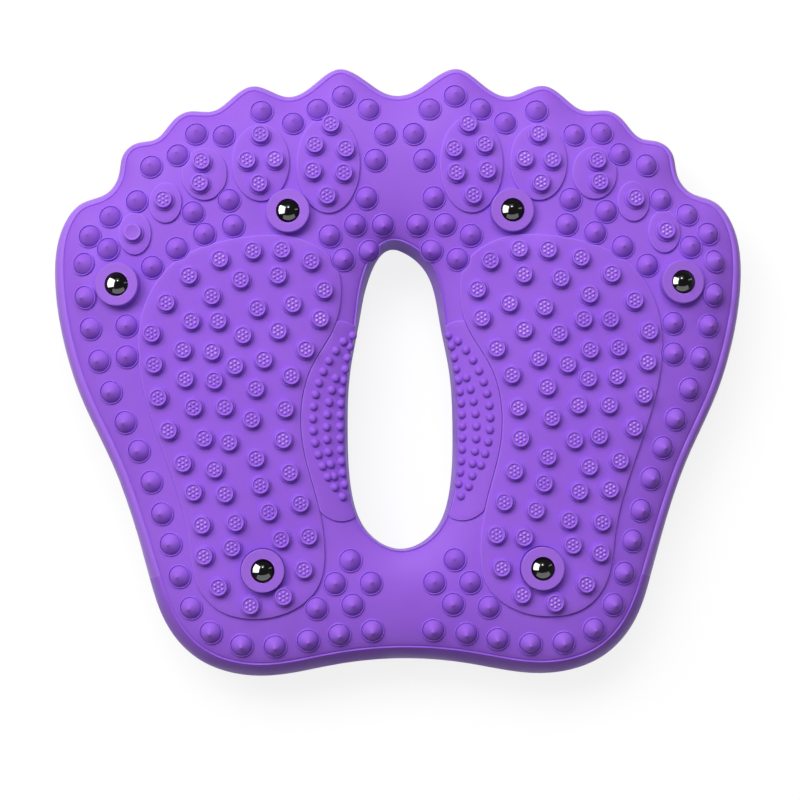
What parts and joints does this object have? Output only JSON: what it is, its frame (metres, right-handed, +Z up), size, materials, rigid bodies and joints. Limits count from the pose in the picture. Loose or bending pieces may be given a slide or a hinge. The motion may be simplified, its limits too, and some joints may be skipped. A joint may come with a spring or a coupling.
{
  "type": "wobble cushion",
  "caption": "Inflatable wobble cushion shaped as two feet, with massage cones, nubs and rolling balls in seats.",
  "frame": {"origin": "middle of the outline, on the surface that the cushion rests on", "axes": "+X to the right foot's side, +Y towards the toes, +Z up"},
  "size_m": [0.34, 0.3, 0.0497],
  "materials": {
    "skin": "soft satin PVC, purple",
    "seat": "satin moulded PVC, purple",
    "ball": "polished black",
    "valve_plastic": "moulded, purple",
    "valve_rubber": "matte black"
  },
  "bodies": {
    "cushion": {"upper_skin": "skin", "lower_skin": "skin", "ball_seat_toe_left": "seat", "ball_seat_side_left": "seat", "ball_seat_heel_left": "seat", "ball_seat_toe_right": "seat", "ball_seat_side_right": "seat", "ball_seat_heel_right": "seat", "valve_housing": "valve_plastic", "valve_core": "valve_rubber", "rim_cones": "skin", "toe_group_cones": "skin", "heel_group_cones": "skin", "sole_pad_left": "skin", "toe_pads_left": "skin", "arch_pad_left": "skin", "arch_dots_left": "skin", "sole_nubs_left": "skin", "toe_nubs_left": "skin", "sole_pad_right": "skin", "toe_pads_right": "skin", "arch_pad_right": "skin", "arch_dots_right": "skin", "sole_nubs_right": "skin", "toe_nubs_right": "skin"},
    "ball_toe_left": {"ball_toe_left": "ball"},
    "ball_side_left": {"ball_side_left": "ball"},
    "ball_heel_left": {"ball_heel_left": "ball"},
    "ball_toe_right": {"ball_toe_right": "ball"},
    "ball_side_right": {"ball_side_right": "ball"},
    "ball_heel_right": {"ball_heel_right": "ball"}
  },
  "joints": [
    {"name": "ball_toe_left_roll", "type": "hinge", "parent": "cushion", "child": "ball_toe_left", "pos_m": [-0.05462, 0.0775, 0.04174], "axis": [1, 0, 0], "continuous": true},
    {"name": "ball_side_left_roll", "type": "hinge", "parent": "cushion", "child": "ball_side_left", "pos_m": [-0.13774, 0.042, 0.04173], "axis": [1, 0, 0], "continuous": true},
    {"name": "ball_heel_left_roll", "type": "hinge", "parent": "cushion", "child": "ball_heel_left", "pos_m": [-0.068, -0.0975, 0.04325], "axis": [1, 0, 0], "continuous": true},
    {"name": "ball_toe_right_roll", "type": "hinge", "parent": "cushion", "child": "ball_toe_right", "pos_m": [0.05462, 0.0775, 0.04174], "axis": [1, 0, 0], "continuous": true},
    {"name": "ball_side_right_roll", "type": "hinge", "parent": "cushion", "child": "ball_side_right", "pos_m": [0.13774, 0.042, 0.04173], "axis": [1, 0, 0], "continuous": true},
    {"name": "ball_heel_right_roll", "type": "hinge", "parent": "cushion", "child": "ball_heel_right", "pos_m": [0.068, -0.0975, 0.04325], "axis": [1, 0, 0], "continuous": true}
  ]
}
